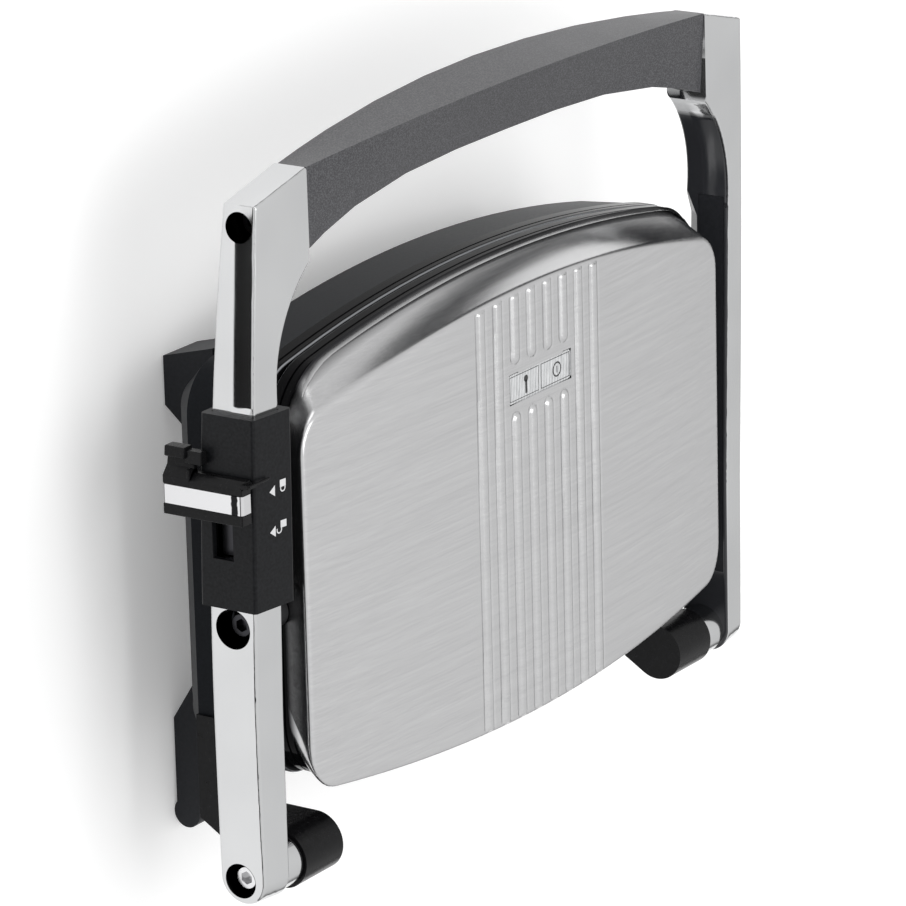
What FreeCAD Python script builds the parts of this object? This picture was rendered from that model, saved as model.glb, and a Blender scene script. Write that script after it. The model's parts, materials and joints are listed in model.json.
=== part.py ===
import FreeCAD, Part
import math
import os

# Contact press with a floating lid. Every piece is drawn about the rear hinge axis (y = 0,
# z = 0, front towards -Y, lid towards +Z) and moved to stand on z = 0 as it is saved.

# --- driving dimensions, millimetres -------------------------------------------------------
# body outline, seen from above
body_half_width = 157.0
body_front = 218.5
front_bow = 18.5
body_back = 22.5
back_bow = 10.5
corner_radius = 22.0

# body heights
seam_height = -2.2
seam_gap = 0.6
rim_height = 9.4
pan_wall_height = 28.0
pan_belly_depth = 12.0
pan_belly_inset = 13.0
pan_front_draft = 2.5
foot_height = 26.7
wall = 2.5

# lid
frame_height = 8.7
cover_overhang = 1.8
cover_side_height = 11.0
cover_crown = 10.0
cover_front_step = 13.0
crease_bow = 37.4
crease_radius = 6.0
lid_corner_radius = 30.0
cover_sheet = 1.2
bead_count = 8
bead_pitch = 12.34
bead_width = 4.4
bead_height = 1.0
bead_front_margin = 13.0
bead_back_end = 24.5
window_width = 48.0
window_depth = 13.0
window_from_front = 52.0
window_to_bead = 4.5

# cooking plates
plate_inset = 14.5
plate_thickness = 6.0
plate_rib_height = 4.6
plate_rib_width = 3.2
plate_rib_pitch = 10.2
rib_tip_gap = 3.0
plate_margin = 12.0

# hinge, lugs and lid pivots
lug_width = 26.0
lug_overhang = 1.0
lug_radius = 12.5
lug_root_height = 14.0
tongue_length = 30.0
boss_radius = 11.1
hinge_screw_radius = 4.0
head_radius = 5.0
head_height = 5.0
socket_radius = 2.5
hinge_pocket_radius = 7.2
pivot_from_front = 111.0
pivot_height = 1.6
pivot_screw_radius = 3.0
pivot_pocket_radius = 8.1
pivot_bush_radius = 7.0
running_clearance = 0.05
side_clearance = 0.4

# arms
arm_gap = 14.0
arm_width_back = 14.9
arm_width_middle = 16.2
arm_width_front = 12.0
arm_low = 10.0
arm_under_chamfer = 10.0
arm_front_low = 3.6
arm_edge_radius = 1.5
neck_radius = 60.0
liner_depth = 1.6

# grip
grip_end_inset = 7.0
finger_gap = 52.5
grip_depth = 29.7
grip_end_depth = 35.4
grip_top_middle = 20.7
grip_top_end = 17.6
grip_back_edge_top = 12.6
grip_low_middle = -2.5
grip_low_end = 4.2
grip_wall = 3.0
grip_core_radius = 5.0
grip_pocket_radius = 6.1
grip_pocket_from_front = 28.7
grip_pocket_height = 8.6
grip_screw_radius = 2.5

# lock
lock_from_front = 22.0
lock_length = 80.0
lock_wall = 2.6
slider_from_lock_front = 10.5
slider_length = 31.5
slider_thickness = 6.4
slider_top = 15.0
slider_bottom = -23.5
slider_travel = 17.0
slider_clearance = 0.4
slot_half_height = 5.0
slot_depth = 6.0
trim_width = 7.8
trim_thickness = 0.6

# feet
front_foot_from_front = 26.2
front_foot_length = 21.0
front_foot_inset = 35.8
front_foot_width = 24.0
front_foot_flare = 6.5
rear_foot_inset = 33.0
rear_foot_width = 26.0
rear_foot_front = 36.2
rear_foot_slope = 39.0
rear_lip_radius = 6.5
rear_foot_lip = 11.7
pad_height = 1.5

# small hardware
sheet = 1.0
heater_radius = 3.3
case_screw_radius = 1.8
gland_radius = 7.5
fit = 0.2

# --- places worked out from them -----------------------------------------------------------
rim_top = seam_height - seam_gap
rim_bottom = rim_top - rim_height
pan_edge = rim_bottom - pan_wall_height
pan_bottom = pan_edge - pan_belly_depth
floor_height = pan_bottom - foot_height
frame_top = seam_height + frame_height
cover_half_width = body_half_width + cover_overhang
cover_side_top = frame_top + cover_side_height
crown_top = cover_side_top + cover_crown
middle = (rim_top + seam_height) / 2
lower_rib_tip = middle - rib_tip_gap / 2
upper_rib_tip = middle + rib_tip_gap / 2
lower_plate_top = lower_rib_tip - plate_rib_height
upper_plate_bottom = upper_rib_tip + plate_rib_height
bead_front_end = body_front - bead_front_margin
window_from_hinge = body_front - window_from_front
lug_outer = body_half_width + lug_overhang
lug_inner = lug_outer - lug_width
arm_inner = body_half_width + arm_gap
arm_outer_back = arm_inner + arm_width_back
arm_outer_middle = arm_inner + arm_width_middle
arm_outer_front = arm_inner + arm_width_front
arm_reach = body_front + finger_gap + grip_depth
pivot_reach = body_front - pivot_from_front
grip_back = body_front + finger_gap
grip_half_length = body_half_width - grip_end_inset
grip_pocket_reach = arm_reach - grip_pocket_from_front
grip_end_front = arm_reach - grip_depth + grip_end_depth - 16.7
grip_end_back = grip_back - 16.7
hinge_from_middle = (arm_reach - rear_foot_lip) / 2
lock_front = body_front - lock_from_front
lock_back = lock_front - lock_length
slider_front = lock_front - slider_from_lock_front
slider_back = slider_front - slider_length
front_foot_front = body_front - front_foot_from_front
front_foot_outer = body_half_width - front_foot_inset
rear_foot_outer = body_half_width - rear_foot_inset
lock_outer = arm_outer_middle + lock_wall
slider_inner = lock_outer + slider_clearance
slider_outer = slider_inner + slider_thickness
post_xy = [(sx * (body_half_width - 32.0), y) for sx in (-1, 1)
           for y in (-body_front + 48.0, -body_back - 50.0)]
lower_plate_bottom = lower_plate_top - plate_thickness
upper_plate_top = upper_plate_bottom + plate_thickness
rim_ear_top = lower_plate_bottom - 0.8
frame_ear_bottom = upper_plate_top + 3.0
tongue_top = rim_bottom - 16.0
tongue_bottom = tongue_top - lug_root_height + 2.0

os.makedirs("parts", exist_ok=True)


def v(x, y, z):
    return FreeCAD.Vector(x, y, z)


def save(name, *solids):
    """Writes one node: its solids, moved from the hinge axis to the standing position."""
    placed = []
    for solid in solids:
        solid = solid.copy()
        solid.translate(v(0, hinge_from_middle, -floor_height))
        placed.append(solid)
    shape = placed[0] if len(placed) == 1 else Part.makeCompound(placed)
    shape.exportStep("parts/" + name + ".step")


def one(shape):
    """The single solid of a shape, as booleans return compounds."""
    return shape.Solids[0] if len(shape.Solids) == 1 else shape


def mirrored(shape):
    return shape.mirror(v(0, 0, 0), v(1, 0, 0))


def box(x0, x1, y0, y1, z0, z1):
    return Part.makeBox(x1 - x0, y1 - y0, z1 - z0, v(x0, y0, z0))


def rod_x(x0, x1, y, z, radius):
    return Part.makeCylinder(radius, x1 - x0, v(x0, y, z), v(1, 0, 0))


def rod_z(x, y, z0, z1, radius):
    return Part.makeCylinder(radius, z1 - z0, v(x, y, z0), v(0, 0, 1))


def arc(a, b, c):
    return Part.Arc(a, b, c).toShape()


def line(a, b):
    return Part.LineSegment(a, b).toShape()


def polygon(points):
    return Part.makePolygon(points + [points[0]])


def prism(points, direction):
    return Part.Face(polygon(points)).extrude(direction)


def side_prism(yz, x0, x1):
    """A shape cut to an outline in side view and x1 - x0 wide."""
    return prism([v(x0, y, z) for y, z in yz], v(x1 - x0, 0, 0))


# --- body outline --------------------------------------------------------------------------
def outline(inset, z, bow=front_bow, front=body_front, r=corner_radius):
    """The bowed plan of the body, taken in by inset from the frame's own outline."""
    half = body_half_width - r
    front_y = -front + r
    back_y = -body_back - r
    corner_front = front_y + bow * (half / body_half_width) ** 2
    corner_back = back_y - back_bow * (half / body_half_width) ** 2
    fl, fm, fr = v(-half, corner_front, z), v(0, front_y, z), v(half, corner_front, z)
    bl, bm, br = v(-half, corner_back, z), v(0, back_y, z), v(half, corner_back, z)
    core = Part.Wire([arc(fl, fm, fr), line(fr, br), arc(br, bm, bl), line(bl, fl)])
    if inset == r:
        return core
    return core.makeOffset2D(r - inset, 2 if inset > r else 0, False, False)


def slab(inset, z0, z1, r=corner_radius):
    return Part.Face(outline(inset, z0, r=r)).extrude(v(0, 0, z1 - z0))


def loft(*sections):
    return Part.makeLoft(list(sections), True, True)


# --- base ----------------------------------------------------------------------------------
def pan_block(inset, z_low, z_high):
    """The housing's solid form: nearly upright walls over a belly that draws in."""
    set_back = body_front - pan_front_draft
    walls = loft(outline(0.6 + inset, pan_edge, front=set_back), outline(0.6 + inset, z_high))
    return walls.fuse(loft(outline(pan_belly_inset + inset, z_low, front=set_back),
                           outline(0.6 + inset, pan_edge, front=set_back)))


def base_pan():
    """Lower housing: walls under the rim, a belly, and posts for the case screws."""
    pan = pan_block(0, pan_bottom, rim_bottom).cut(
        pan_block(wall, pan_bottom + wall, rim_bottom + 1)).removeSplitter()
    floor_top = pan_bottom + wall
    posts = [(x, y, rim_ear_top - 4.4) for x, y in post_xy]
    posts += [(x, y, tongue_bottom) for x, y in tongue_screw_places()]
    for x, y, top in posts:
        pan = pan.fuse(rod_z(x, y, floor_top - 1, top, 4.5))
        pan = pan.cut(rod_z(x, y, pan_bottom - 1, top + 1, case_screw_radius))
        pan = pan.cut(rod_z(x, y, pan_bottom - 1, pan_bottom + 3, case_screw_radius * 2 + 0.4))
    for x in vent_places():
        pan = pan.cut(box(x - 1.5, x + 1.5, -body_front + 75, -body_front + 125,
                          pan_bottom - 1, floor_top + 1))
    pan = pan.cut(tongue(fit)).cut(mirrored(tongue(fit)))
    pan = pan.cut(Part.makeCylinder(gland_radius + fit, 30, v(0, -body_back - 20, gland_z()),
                                    v(0, 1, 0)))
    return one(pan)


def vent_places():
    return [-54 + 12 * i for i in range(10)]


def tongue(extra):
    """The root of a lug that passes through the housing's rear wall and rests on a post."""
    y_out = -body_back - back_bow
    return box(lug_inner + 3 - extra, lug_inner + 15 + extra, y_out - tongue_length, y_out + 8,
               tongue_bottom - extra, tongue_top + extra)


def tongue_screw_places():
    y = -body_back - back_bow - tongue_length + 7
    return [(sx * (lug_inner + 9), y) for sx in (-1, 1)]


def gland_z():
    return pan_edge + gland_radius + 4.0


def base_rim():
    """Gloss ring round the lower plate, with a groove along its outer face."""
    ring = slab(0, rim_bottom, rim_top).cut(slab(plate_inset - fit, rim_bottom - 1, rim_top + 1))
    edges = [e for e in ring.Edges if abs(e.CenterOfMass.z - rim_top) < 0.01
             and e.BoundBox.YMin < -body_front + 1 or abs(e.CenterOfMass.z - rim_top) < 0.01
             and abs(e.BoundBox.XMax) > body_half_width - 1]
    ring = ring.makeFillet(1.6, edges)
    groove = slab(-1, rim_top - 4.6, rim_top - 3.6).cut(slab(1.0, rim_top - 5, rim_top - 3))
    ring = ring.cut(groove)
    for x, y in post_xy:
        ring = ring.fuse(rim_ear(x, y))
        ring = ring.cut(rod_z(x, y, rim_ear_top - 6, rim_ear_top + 1, case_screw_radius - 0.3))
    return one(ring.removeSplitter())


def rim_ear(x, y):
    """A lug hung inside the rim that a case screw bites into, under the plate."""
    side = 1 if x > 0 else -1
    low = rim_ear_top - 4.2
    near = body_half_width - plate_inset + 1.2
    bar = box(x if x > 0 else -near - 6, near + 6 if x > 0 else x, y - 5, y + 5, low, rim_ear_top)
    bar = bar.fuse(rod_z(x, y, low, rim_ear_top, 5.0))
    leg = box(min(side * near, side * (near + 6)), max(side * near, side * (near + 6)),
              y - 5, y + 5, low, rim_bottom + 1)
    return bar.fuse(leg)


def ribbed_plate(z_face, up):
    """Cast plate with a rim wall and parallel ribs; up is 1 for the lower plate."""
    z_back = z_face - up * plate_thickness
    low, high = min(z_face, z_back), max(z_face, z_back)
    plate = slab(plate_inset, low, high)
    rim_z = z_face + up * plate_rib_height
    wall_low, wall_high = min(z_face, rim_z), max(z_face, rim_z)
    ring = slab(plate_inset, wall_low, wall_high).cut(
        slab(plate_inset + 3.0, wall_low - 1, wall_high + 1))
    field = slab(plate_inset + plate_margin, wall_low, wall_high)
    count = int((body_half_width - plate_inset - plate_margin) / plate_rib_pitch)
    ribs = []
    for i in range(-count, count + 1):
        x = i * plate_rib_pitch
        w = plate_rib_width / 2
        foot = v(x - w, -body_front, z_face)
        tip = rim_z
        profile = [foot, v(x + w, -body_front, z_face), v(x + w * 0.55, -body_front, tip),
                   v(x - w * 0.55, -body_front, tip)]
        ribs.append(prism(profile, v(0, body_front, 0)).common(field))
    return one(plate.fuse([ring] + ribs))


def heater(z):
    """Tubular element bent to a flat U with its two cold ends towards the hinge."""
    half = body_half_width - plate_inset - 46
    front = -window_from_hinge + window_depth + 2
    back = -body_back - 26
    r = 28.0
    a, b = v(-half, back, z), v(-half, front + r, z)
    c, d = v(-half + r, front, z), v(half - r, front, z)
    e, f = v(half, front + r, z), v(half, back, z)
    k = r * (1 - math.sqrt(0.5))
    path = Part.Wire([line(a, b), arc(b, v(-half + k, front + k, z), c), line(c, d),
                      arc(d, v(half - k, front + k, z), e), line(e, f)])
    section = Part.Wire(Part.makeCircle(heater_radius, a, v(0, 1, 0)))
    return one(path.makePipeShell([section], True, True))


def cord_gland():
    """Bored gland for the mains cord, with a collar outside the wall and a nut inside it."""
    outside = -body_back - 0.6
    z = gland_z()
    y_axis = v(0, 1, 0)
    gland = Part.makeCylinder(gland_radius, 22, v(0, outside - 10, z), y_axis)
    gland = gland.fuse(Part.makeCylinder(gland_radius + 2, 3, v(0, outside + 0.1, z), y_axis))
    gland = gland.fuse(Part.makeCylinder(gland_radius + 2, 4, v(0, outside - wall - 4.4, z), y_axis))
    return one(gland.cut(Part.makeCylinder(3.6, 30, v(0, outside - 12, z), y_axis)))


def shield(z, inset):
    """Pressed sheet that keeps the plate's heat from the housing, with a turned edge."""
    tray = slab(inset, z, z + sheet)
    rim = slab(inset, z, z + 2.4).cut(slab(inset + sheet, z - 1, z + 3))
    return one(tray.fuse(rim))


def feet():
    """Front feet flare forward; rear feet end in a lip that the press is stored upright on."""
    front_y = -front_foot_front + (218.5 - body_front)
    back_y = front_y + front_foot_length
    low = floor_height + pad_height
    top = pan_bottom
    front = side_prism([(front_y, low), (front_y - front_foot_flare, top),
                        (back_y + 22, top), (back_y, low)],
                       front_foot_outer - front_foot_width, front_foot_outer)
    lip_r = rear_lip_radius
    rear = side_prism([(-rear_foot_front, low), (-rear_foot_front - rear_foot_slope, top),
                       (-body_back - pan_belly_inset - 6, top), (rear_foot_lip - lip_r, floor_height + 2 * lip_r),
                       (rear_foot_lip - lip_r, low)],
                      rear_foot_outer - rear_foot_width, rear_foot_outer)
    lip = rod_x(rear_foot_outer - rear_foot_width, rear_foot_outer, rear_foot_lip - lip_r,
                floor_height + lip_r, lip_r)
    rear = rear.fuse(lip).removeSplitter()
    pads = []
    for foot, y0, y1 in ((front, front_y + 3, back_y - 3), (rear, -rear_foot_front + 3, -4)):
        x1 = foot.BoundBox.XMax - 3
        pad = box(foot.BoundBox.XMin + 3, x1, y0, y1, floor_height, low)
        pads.append(pad)
    return one(front), one(rear), pads


def hinge_lug():
    """Lug behind the housing: a round head on a leg whose tongue goes through the wall."""
    r = lug_radius
    y_in = -body_back - back_bow - corner_radius
    slope = (0.848 * r, -0.53 * r)
    drop = tongue_bottom - slope[1]
    leg = side_prism([(-r, 0), (-r, tongue_top + 11), (-r - 18, tongue_top + 3),
                      (y_in, tongue_top), (y_in, tongue_bottom),
                      (slope[0] + drop * 0.625, tongue_bottom), slope, (0, 0)],
                     lug_inner, lug_outer)
    lug = leg.fuse(rod_x(lug_inner, lug_outer, 0, 0, r)).removeSplitter()
    lug = lug.cut(pan_block(-0.1, pan_bottom, rim_top + 40))
    lug = max(lug.Solids, key=lambda s: s.Volume)
    lug = lug.fuse(tongue(0))
    lug = lug.cut(rod_x(lug_inner + 6, lug_outer + 1, 0, 0, hinge_screw_radius + 2.0))
    for x, y in tongue_screw_places():
        lug = lug.cut(rod_z(x, y, tongue_bottom - 1, tongue_bottom + 9, case_screw_radius - 0.3))
    return one(lug.removeSplitter())


def hinge_bush():
    """Threaded brass insert in the lug."""
    return one(rod_x(lug_inner + 6, lug_outer, 0, 0, hinge_screw_radius + 2.0).cut(
        rod_x(lug_inner + 7, lug_outer + 1, 0, 0, hinge_screw_radius)))


def cap_screw(x_end, x_seat, y, z, radius):
    """Socket head screw along X: its shank runs from x_end out to the head's seat."""
    shank = rod_x(x_end, x_seat, y, z, radius)
    head = rod_x(x_seat, x_seat + head_height, y, z, head_radius)
    head = head.makeChamfer(0.5, [e for e in head.Edges
                                  if abs(e.CenterOfMass.x - x_seat - head_height) < 0.01
                                  and e.BoundBox.XLength < 0.01])
    corners = [v(x_seat + head_height - 2.8, y + socket_radius * 1.155 * math.cos(math.pi / 3 * i),
                 z + socket_radius * 1.155 * math.sin(math.pi / 3 * i)) for i in range(6)]
    socket = prism(corners, v(4, 0, 0))
    return one(shank.fuse(head).cut(socket))


def case_screw(x, y, z_head, z_tip, up):
    """Pan head screw along Z. up is 1 where it is driven upwards."""
    head_low, head_high = sorted((z_head, z_head + up * 2.0))
    tip_low, tip_high = sorted((z_head + up * 2.0, z_tip))
    screw = rod_z(x, y, head_low, head_high, case_screw_radius * 2)
    screw = screw.fuse(rod_z(x, y, tip_low, tip_high, case_screw_radius - 0.3))
    cross = box(x - 1.8, x + 1.8, y - 0.4, y + 0.4, -1, 0).fuse(
        box(x - 0.4, x + 0.4, y - 1.8, y + 1.8, -1, 0))
    cross.translate(v(0, 0, z_head + (1 if up > 0 else 0)))
    return one(screw.cut(cross))


# --- lid -----------------------------------------------------------------------------------
def cover_outline(inset, z, top):
    """The cover's plan: at its top the front edge is straighter and set back."""
    front = body_front - cover_overhang + 0.4
    if top:
        return outline(inset - cover_overhang, z, crease_bow, front - cover_front_step,
                       crease_radius)
    return outline(inset - cover_overhang, z, front_bow, front, lid_corner_radius)


def crown_block(raise_by):
    """A block under the crowned top: one cylinder along Y across the whole lid."""
    sag = cover_crown
    half = cover_half_width
    radius = (half * half + sag * sag) / (2 * sag)
    top = crown_top + raise_by
    low = v(0, 0, top - radius)
    edge = v(half, 0, top - sag)
    far = math.atan2(edge.x, edge.z - low.z) * 1.1
    left = v(-radius * math.sin(far), 0, low.z + radius * math.cos(far))
    right = v(radius * math.sin(far), 0, left.z)
    base_z = seam_height - 5
    profile = Part.Wire([arc(left, v(0, 0, top), right), line(right, v(right.x, 0, base_z)),
                         line(v(right.x, 0, base_z), v(left.x, 0, base_z)),
                         line(v(left.x, 0, base_z), left)])
    block = Part.Face(profile).extrude(v(0, -2 * body_front, 0))
    block.translate(v(0, body_front / 2, 0))
    return block


def cover_block(inset, drop, raise_by=0.0):
    """The solid inside the cover's outer face, taken in by inset and lowered by drop."""
    body = loft(cover_outline(inset, frame_top, False),
                cover_outline(inset + 0.5, crown_top + 6, True))
    return body.common(crown_block(raise_by - drop))


def lid_cover():
    """Drawn steel shell with pressed beads along it and a window for the lamps."""
    outer = cover_block(0, 0)
    edges = [e for e in outer.Edges if e.BoundBox.ZMin > frame_top + 3
             and e.BoundBox.ZLength < 9 and e.Length > 12]
    outer = outer.makeFillet(2.0, edges)
    raised = cover_block(-bead_height * 0.6, 0, bead_height)
    beads = []
    for i in range(bead_count):
        x = (i - (bead_count - 1) / 2) * bead_pitch
        spans = [(-bead_front_end, -bead_back_end)]
        if abs(x) < window_width / 2:
            spans = [(-bead_front_end, -window_from_hinge - window_depth / 2 - window_to_bead),
                     (-window_from_hinge + window_depth / 2 + window_to_bead, -bead_back_end)]
        for y0, y1 in spans:
            r = bead_width / 2
            pad = box(x - r, x + r, y0 + r, y1 - r, frame_top + 4, crown_top + 4)
            pad = pad.fuse([rod_z(x, y, frame_top + 4, crown_top + 4, r) for y in (y0 + r, y1 - r)])
            beads.append(pad.common(raised))
    shell = outer.fuse(beads).cut(cover_block(cover_sheet, cover_sheet))
    hole = window_block(0, crown_top - 14, crown_top + 4)
    shell = shell.cut(hole)
    return one(shell)


def window_block(inset, z0, z1):
    half = window_width / 2 - inset
    deep = window_depth / 2 - inset
    block = box(-half, half, -window_from_hinge - deep, -window_from_hinge + deep, z0, z1)
    return block.makeFillet(2.0, [e for e in block.Edges if e.BoundBox.ZLength > 1])


def lid_frame():
    """Gloss ring under the cover that holds the upper plate, with two pivot blocks."""
    ring = slab(0, seam_height, frame_top, lid_corner_radius).cut(
        slab(plate_inset - fit, seam_height - 1, frame_top + 1))
    low_edges = [e for e in ring.Edges if abs(e.CenterOfMass.z - seam_height) < 0.01
                 and (e.BoundBox.YMin < -body_front + 1
                      or abs(e.BoundBox.XMax) > body_half_width - 1)]
    ring = ring.makeFillet(1.6, low_edges)
    groove = slab(-1, frame_top - 3.6, frame_top - 2.6, lid_corner_radius).cut(
        slab(1.0, frame_top - 4, frame_top - 2, lid_corner_radius))
    ring = ring.cut(groove)
    for x, y in post_xy:
        ring = ring.fuse(frame_ear(x, y))
        ring = ring.cut(rod_z(x, y, frame_ear_bottom - 1, frame_ear_bottom + 4, case_screw_radius))
    bore = pivot_screw_radius
    for side in (-1, 1):
        hole = rod_x(body_half_width - 9, body_half_width + 1, -pivot_reach, pivot_height, bore)
        ring = ring.cut(hole if side > 0 else mirrored(hole))
    return one(ring.removeSplitter())


def frame_ear(x, y):
    """A lug standing inside the lid frame, over the plate, that a cover screw passes through."""
    side = 1 if x > 0 else -1
    high = frame_ear_bottom + 2.2
    near = body_half_width - plate_inset + 1.2
    bar = box(x if x > 0 else -near - 5, near + 5 if x > 0 else x, y - 5, y + 5,
              frame_ear_bottom, high)
    bar = bar.fuse(rod_z(x, y, frame_ear_bottom, high, 5.0))
    leg = box(min(side * near, side * (near + 5)), max(side * near, side * (near + 5)),
              y - 5, y + 5, frame_top - 1, high)
    return bar.fuse(leg)


def cover_post(x, y):
    """A post spot-welded under the cover that a screw from the frame bites into."""
    low = frame_ear_bottom + 2.2
    post = rod_z(x, y, low, crown_top + 2, 4.0)
    post = post.common(cover_block(cover_sheet, cover_sheet))
    return one(post.cut(rod_z(x, y, low - 1, low + 3.4, case_screw_radius - 0.3)))


def indicator_lens():
    """Clear lens with a flange under the sheet and a raised face in the window."""
    face_top = crown_top - 0.6
    lens = window_block(fit, face_top - 4, face_top)
    flange = window_block(-2.0, face_top - 5.5, face_top - 3.4)
    cut = window_block(1.8, face_top - 6, face_top - 1.6)
    return one(lens.fuse(flange).cut(cut))


def lamp(x):
    """Neon lamp in its sleeve under one half of the lens."""
    z = crown_top - 11
    body = rod_x(x - 7, x + 7, -window_from_hinge, z, 2.4)
    return one(body.makeFillet(1.5, [e for e in body.Edges if e.BoundBox.XLength < 0.01]))


def lamp_holder():
    z = crown_top - 11
    half = window_width / 2 + 2
    deep = window_depth / 2 + 2
    y = -window_from_hinge
    holder = box(-half, half, y - deep, y + deep, z - 4.5, z - 2.6)
    for x in (-half, -1, half - 2):
        holder = holder.fuse(box(x, x + 2, y - deep, y + deep, z - 3, z + 4.5))
    return one(holder)


# --- handle --------------------------------------------------------------------------------
def arm_side(grow, x, top_back, top_mid, top_front, end_reach):
    """Side view of the arm in the plane at x, from the round hinge end to the front."""
    front = -arm_reach - 5
    flat = -70.0
    low = -arm_low - grow
    top = top_back + grow
    mid_z = (top + low) / 2
    front_low = arm_front_low - grow
    t = (-190.0 - flat) / (front - flat)
    mid_low = low + (front_low - low) * t * t
    p = [v(x, 0, top), v(x, flat, top), v(x, -190, top_mid + grow), v(x, front, top_front + grow),
         v(x, front, front_low), v(x, -190, mid_low), v(x, flat, low), v(x, 0, low)]
    return Part.Wire([line(p[0], p[1]), arc(p[1], p[2], p[3]), line(p[3], p[4]),
                      arc(p[4], p[5], p[6]), line(p[6], p[7]),
                      arc(p[7], v(x, end_reach, mid_z), p[0])])


def arm_block(grow):
    """The arm's height at every place, as a block much wider than the arm."""
    return loft(arm_side(grow, arm_outer_middle + 3, 11.2, 13.8, 17.0, 9.6 + grow),
                arm_side(grow, grip_half_length - 8, 17.5, 19.0, 17.9, 12.6 + grow))


def arm_plan():
    """The arm seen from above: bowed outer face, straight inside, and the neck to the grip."""
    e1 = v(arm_outer_front, -(arm_reach - 19.6), 0)
    j1 = v(grip_half_length, -grip_end_front, 0)
    j2 = v(grip_half_length, -grip_end_back + 0.6, 0)
    tangent_y = -(grip_end_back - 49.0)
    centre = v(arm_inner - neck_radius, tangent_y, 0)
    dx = grip_half_length + 1.0 - centre.x
    end = v(grip_half_length + 1.0, tangent_y - math.sqrt(neck_radius ** 2 - dx ** 2), 0)
    a = math.atan2(tangent_y - end.y, end.x - centre.x) / 2
    mid = centre + v(neck_radius * math.cos(a), -neck_radius * math.sin(a), 0)
    tangent = v(arm_inner, tangent_y, 0)
    back_in, back_out = v(arm_inner, 20, 0), v(arm_outer_back, 20, 0)
    outer_mid = v(arm_outer_middle, -arm_reach * 0.45, 0)
    wire = Part.Wire([line(e1, j1), line(j1, j2), line(j2, end), arc(end, mid, tangent),
                      line(tangent, back_in), line(back_in, back_out),
                      arc(back_out, outer_mid, e1)])
    face = Part.Face(wire).extrude(v(0, 0, 80))
    face.translate(v(0, 0, -30))
    return face


def arm_corner(edge_box):
    """True for the long outer edges and the front corner, not for the joint with the grip."""
    at_grip = edge_box.XMax < grip_half_length + 0.01
    upright = edge_box.YLength < 0.01 and edge_box.XLength < 0.01
    at_front = abs(edge_box.XMax - arm_outer_front) < 0.01
    return (edge_box.YLength > 5 and not at_grip) or (upright and at_front)


def arm():
    """Cast and polished arm with its hinge boss, before the lock's pocket is cut."""
    body = arm_block(0).common(arm_plan())
    body = body.makeFillet(arm_edge_radius, [e for e in body.Edges if arm_corner(e.BoundBox)])
    body = body.cut(under_chamfer())
    boss = rod_x(lug_outer + side_clearance + sheet, arm_inner + 3, 0, 0, boss_radius)
    body = body.fuse(boss)
    body = body.cut(rod_x(100, 220, 0, 0, hinge_screw_radius + running_clearance))
    body = body.cut(rod_x(arm_outer_back - 9.0, 220, 0, 0, hinge_pocket_radius))
    body = body.cut(rod_x(100, 220, -pivot_reach, pivot_height,
                          pivot_screw_radius + running_clearance))
    body = body.cut(rod_x(arm_outer_middle - 11.0, 220, -pivot_reach, pivot_height,
                          pivot_pocket_radius))
    body = body.cut(rod_x(arm_outer_front - 14.0, 220, -grip_pocket_reach, grip_pocket_height,
                          grip_pocket_radius))
    body = body.cut(rod_x(100, 220, -grip_pocket_reach, grip_pocket_height,
                          grip_screw_radius + fit))
    body = body.cut(liner_strip(fit))
    return one(body)


def under_chamfer():
    """Takes off the arm's lower inner corner between the hinge end and the neck."""
    c = arm_under_chamfer
    x, z = arm_inner, -arm_low
    y0, y1 = -(grip_end_back - 40.0), -lug_radius - 14
    ends = []
    for y, k in ((y0, 0.05), (y0 + 22, 1.0), (y1 - 12, 1.0), (y1, 0.05)):
        ends.append(polygon([v(x + c * k, y, z - 1), v(x - 5, y, z - 1), v(x - 5, y, z + c * k),
                             v(x, y, z + c * k)]))
    return Part.makeLoft(ends, True, True)


def liner_strip(extra):
    """The strip that closes the arm's inner face, from the hinge to the neck."""
    y0, y1 = -(grip_end_back - 52.0), -lug_radius - 16
    strip = box(arm_inner - 1, arm_inner + liner_depth, y0 - extra, y1 + extra,
                -arm_low + arm_under_chamfer + 1.2 - extra, 30)
    return strip.common(arm_block(-2.2 + extra))


def arm_liner():
    strip = liner_strip(0).common(box(arm_inner, arm_inner + liner_depth - fit,
                                      -arm_reach, 0, -30, 40))
    return one(strip.cut(rod_x(100, 220, -pivot_reach, pivot_height, pivot_bush_radius + 1.0)))


def grip_section(x, inset):
    """Four-sided section of the grip at x: ridge on top, wider and flatter at the ends."""
    u = (x / grip_half_length) ** 2
    front_middle, front_end = -arm_reach, -grip_end_front
    ridge = (front_middle + 5.8 + (front_end - front_middle - 5.8) * u,
             grip_top_middle + (grip_top_end - grip_top_middle) * u)
    back = (-grip_back + 16.7 * u ** 1.7, grip_back_edge_top + 2.9 * u)
    under = (back[0] - 1.5 * (1 - u), grip_low_middle + (grip_low_end - grip_low_middle) * u)
    front = (front_middle + (front_end - front_middle) * u,
             grip_low_middle + (grip_low_end - grip_low_middle) * u)
    points = [ridge, back, under, front]
    cy = sum(p[0] for p in points) / 4
    cz = sum(p[1] for p in points) / 4
    shrunk = []
    for y, z in points:
        dy, dz = cy - y, cz - z
        shrunk.append(v(x, y + inset * (1 if dy > 0 else -1), z + inset * (1 if dz > 0 else -1)))
    return polygon(shrunk)


def grip_solid(inset, reach):
    places = [-1.0, -0.9, -0.75, -0.5, -0.25, 0.0, 0.25, 0.5, 0.75, 0.9, 1.0]
    return Part.makeLoft([grip_section(p * reach, inset) for p in places], True, True)


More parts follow.
